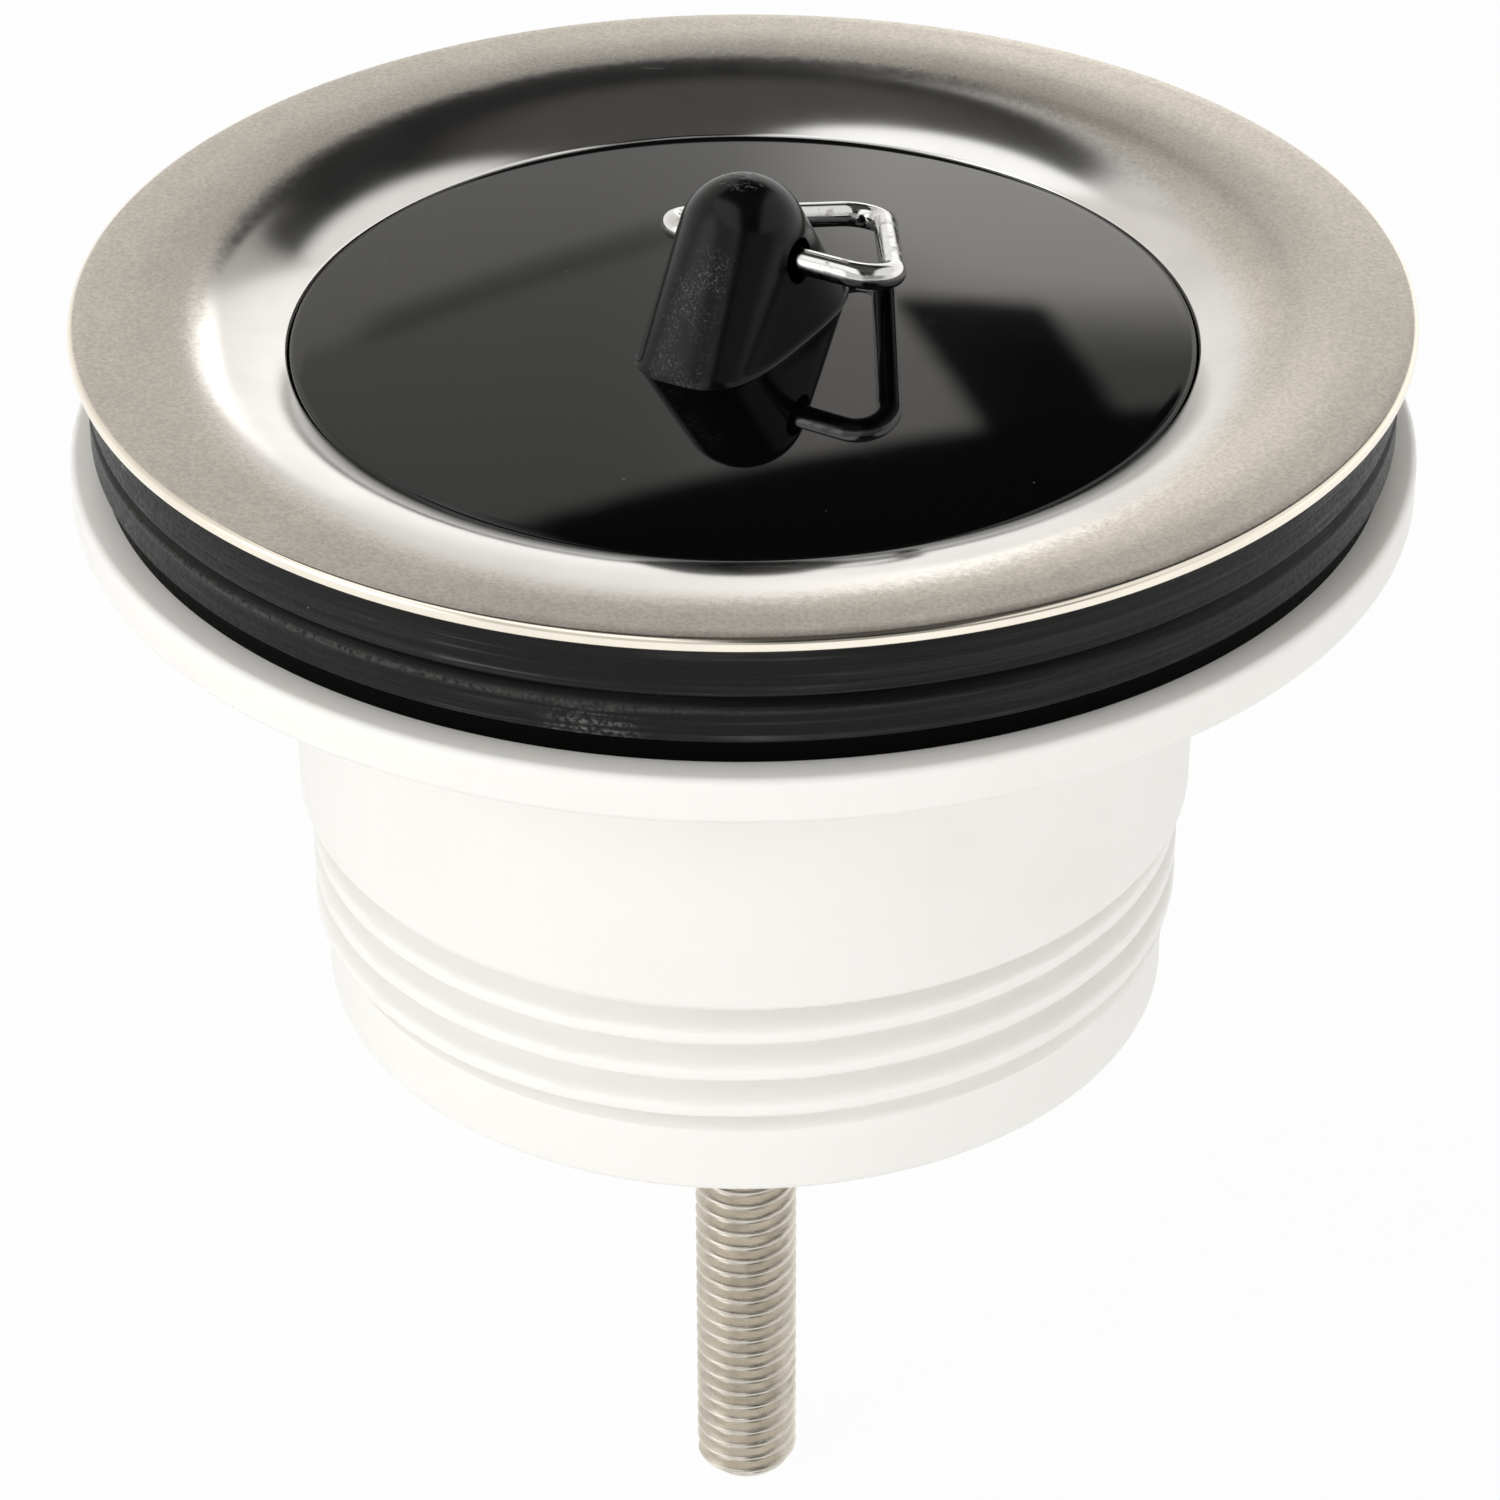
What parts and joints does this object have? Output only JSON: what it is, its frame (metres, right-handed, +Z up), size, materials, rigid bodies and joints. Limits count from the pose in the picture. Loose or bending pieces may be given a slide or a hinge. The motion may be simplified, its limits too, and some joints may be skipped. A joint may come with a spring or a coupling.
{
  "type": "drain stopper",
  "caption": "Sink waste with a pressed steel flange, strainer cup, rubber seals, threaded plastic tail, long clamping screw and a black lift-out plug with a wire link.",
  "frame": {"origin": "centre of the upper seal's underside, in the plane of the sink's surface", "axes": "+Z up along the screw, out of the drain towards the user; -Y towards the pictured side; +X to that viewer's right"},
  "size_m": [0.0708, 0.0708, 0.0855],
  "materials": {
    "flange_steel": "satin pressed stainless sheet",
    "seal_rubber": "matt moulded rubber",
    "white_plastic": "satin moulded plastic",
    "nut_brass": "plain turned brass",
    "screw_steel": "bright rolled thread",
    "black_gloss": "polished black plastic",
    "link_chrome": "bright drawn wire"
  },
  "bodies": {
    "flange": {"flange_cup": "flange_steel", "upper_seal": "seal_rubber"},
    "screw": {"centre_screw": "screw_steel"},
    "tail": {"tail_body": "white_plastic", "insert_nut": "nut_brass", "lower_seal": "seal_rubber"},
    "plug": {"plug_disc": "black_gloss", "plug_seal": "seal_rubber", "plug_knob": "black_gloss"},
    "link": {"wire_link": "link_chrome"}
  },
  "joints": [
    {"name": "screw_turn", "type": "hinge", "parent": "flange", "child": "screw", "pos_m": [0, 0, 0], "axis": [0, 0, 1], "range_deg": [0, 6588]},
    {"name": "tail_slide", "type": "slide", "parent": "flange", "child": "tail", "axis": [0, 0, 1], "range_m": [-0.0183, 0]},
    {"name": "plug_lift", "type": "slide", "parent": "flange", "child": "plug", "axis": [0, 0, 1], "range_m": [0, 0.04]},
    {"name": "link_swing", "type": "hinge", "parent": "plug", "child": "link", "pos_m": [0, 0, 0.0063], "axis": [0.866, -0.5, 0], "range_deg": [0, 208]}
  ],
  "couplings": [
    {"joint": "screw_turn", "follows": "tail_slide", "rad_per_m": -6283.2}
  ]
}
